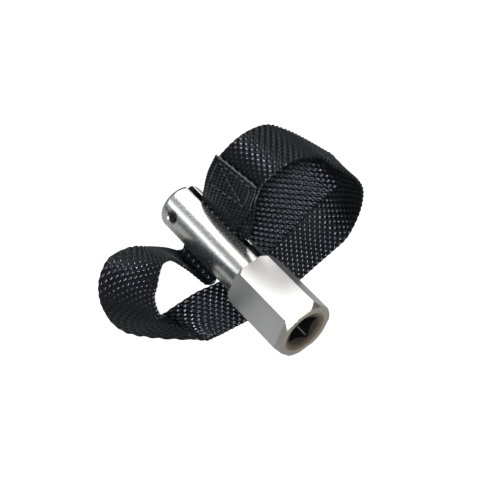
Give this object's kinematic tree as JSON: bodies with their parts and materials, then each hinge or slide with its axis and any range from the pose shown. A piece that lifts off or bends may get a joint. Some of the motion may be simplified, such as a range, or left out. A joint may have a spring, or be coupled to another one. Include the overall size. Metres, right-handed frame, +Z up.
{
  "type": "oil filter strap wrench",
  "caption": "Steel drive body with a hexagon head, square drive socket and slotted shank, holding a sewn webbing strap that grips an oil filter.",
  "frame": {"origin": "centre of the square drive socket at the drive end face", "axes": "+X out of the drive end along the body, +Z up out of the hexagon's top flat, the large strap loop towards +Y"},
  "size_m": [0.1, 0.1388, 0.0876],
  "materials": {
    "chrome_body": "chrome plated, turned shank and smooth hexagon",
    "pin_steel": "rolled spring steel",
    "webbing": "coarse woven black webbing",
    "thread": "black polyester sewing thread"
  },
  "bodies": {
    "body": {"drive_body": "chrome_body", "spring_pin": "pin_steel"},
    "sling": {"strap": "webbing", "stitching": "thread"}
  },
  "joints": [
    {"name": "strap_slide", "type": "slide", "parent": "body", "child": "sling", "axis": [1, 0, 0], "range_m": [0, 0.0025]}
  ]
}
